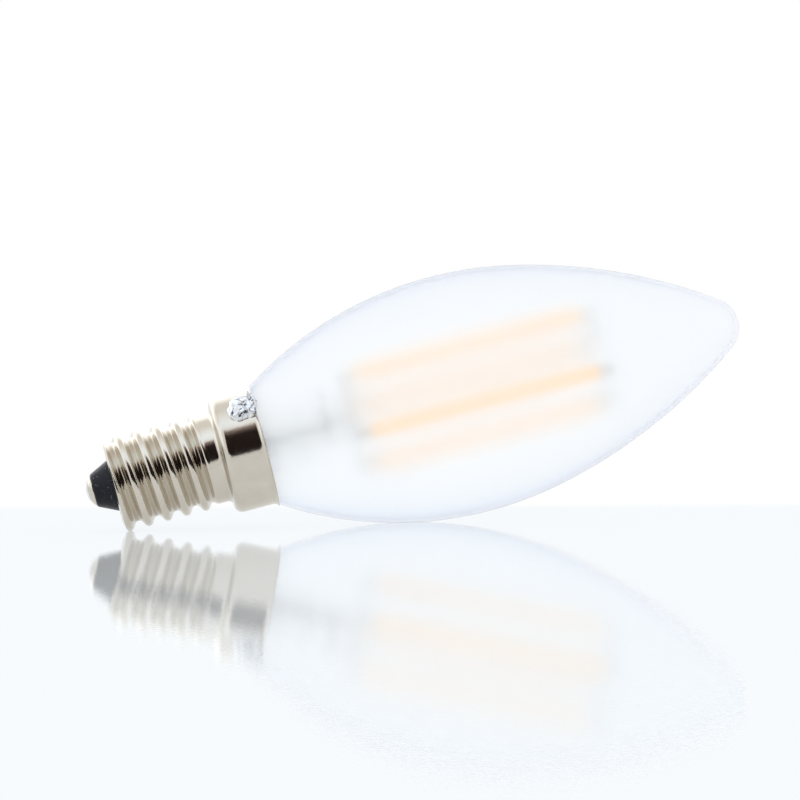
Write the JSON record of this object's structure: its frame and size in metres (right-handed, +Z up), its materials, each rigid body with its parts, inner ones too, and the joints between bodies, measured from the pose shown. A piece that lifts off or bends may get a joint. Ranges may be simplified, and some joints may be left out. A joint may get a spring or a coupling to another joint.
{
  "type": "candle bulb",
  "caption": "Frosted candle-shaped light bulb with a small nickel-plated screw cap, a black insulator and a domed centre contact; filament strips show faintly through the glass.",
  "frame": {"origin": "on the floor under the middle of the lamp's bounding box, with the lamp lying at rest on its lowest thread crest and the belly of its glass", "axes": "+X towards the tip of the glass along the floor, +Z up, -Y towards the front, the side on which the solder of the cap shows"},
  "size_m": [0.0956, 0.035, 0.037],
  "materials": {
    "frosted_glass": "frosted",
    "clear_glass": "clear",
    "nickel": "nickel plate",
    "insulator": "satin black",
    "solder": "bright solder",
    "wire": "drawn wire",
    "phosphor": "phosphor coat",
    "cement": "matt",
    "board": "lacquer",
    "package": "moulded",
    "can": "drawn can",
    "fuse": "lacquer"
  },
  "bodies": {
    "root": {"glass_envelope": "frosted_glass", "stem": "clear_glass", "exhaust_tube": "clear_glass", "support_post": "clear_glass", "screw_shell": "nickel", "contact_plate": "nickel", "insulator": "insulator", "contact_solder": "solder", "side_solder": "solder", "front_lead": "wire", "back_lead": "wire", "press_link": "wire", "lower_link": "wire", "upper_link": "wire", "fuse_leads": "wire", "side_lead": "wire", "filament_1_tabs": "wire", "filament_2_tabs": "wire", "filament_3_tabs": "wire", "filament_4_tabs": "wire", "filament_1": "phosphor", "filament_2": "phosphor", "filament_3": "phosphor", "filament_4": "phosphor", "capping_cement": "cement", "driver_board": "board", "rectifier": "package", "driver_chip": "package", "smoothing_capacitor": "can", "fuse_resistor": "fuse"}
  },
  "joints": []
}
